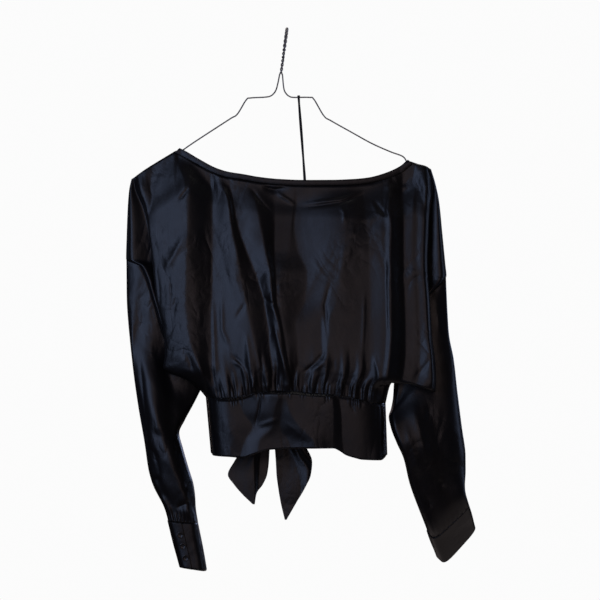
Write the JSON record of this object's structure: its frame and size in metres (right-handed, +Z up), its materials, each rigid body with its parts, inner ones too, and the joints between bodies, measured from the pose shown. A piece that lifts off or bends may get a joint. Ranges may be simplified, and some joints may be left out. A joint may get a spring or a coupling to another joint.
{
  "type": "crop top on a wire hanger",
  "caption": "Black satin crop top with a boat neck, batwing fronts, gathered waistband, buttoned cuffs and a tied open back, hung on a twisted-wire hanger.",
  "frame": {"origin": "the highest point inside the hanger's hook, where a rod holds it", "axes": "+Z up, +X to the right as the front is seen, the front of the top faces -Y"},
  "size_m": [0.5019, 0.1221, 0.777],
  "materials": {
    "satin": "black satin with a soft shine",
    "binding": "black satin folded into a narrow binding",
    "ribbon": "matt black ribbon",
    "button": "black gloss",
    "wire": "dull grey steel wire"
  },
  "bodies": {
    "root": {"front_panel": "satin", "back_panel_left": "satin", "back_panel_right": "satin", "sleeve_left": "satin", "sleeve_right": "satin", "cuff_left": "satin", "cuff_right": "satin", "waistband_front": "satin", "waistband_back_left": "satin", "waistband_back_right": "satin", "tie_knot": "satin", "tie_tail_left": "satin", "tie_tail_right": "satin", "neck_binding_front": "binding", "neck_binding_back_left": "binding", "neck_binding_back_right": "binding", "hanger_loop": "ribbon", "cuff_button_left_1": "button", "cuff_button_left_2": "button", "cuff_button_left_3": "button", "cuff_button_right_1": "button", "cuff_button_right_2": "button", "cuff_button_right_3": "button", "hanger_wire_left": "wire", "hanger_wire_right": "wire"}
  },
  "joints": []
}
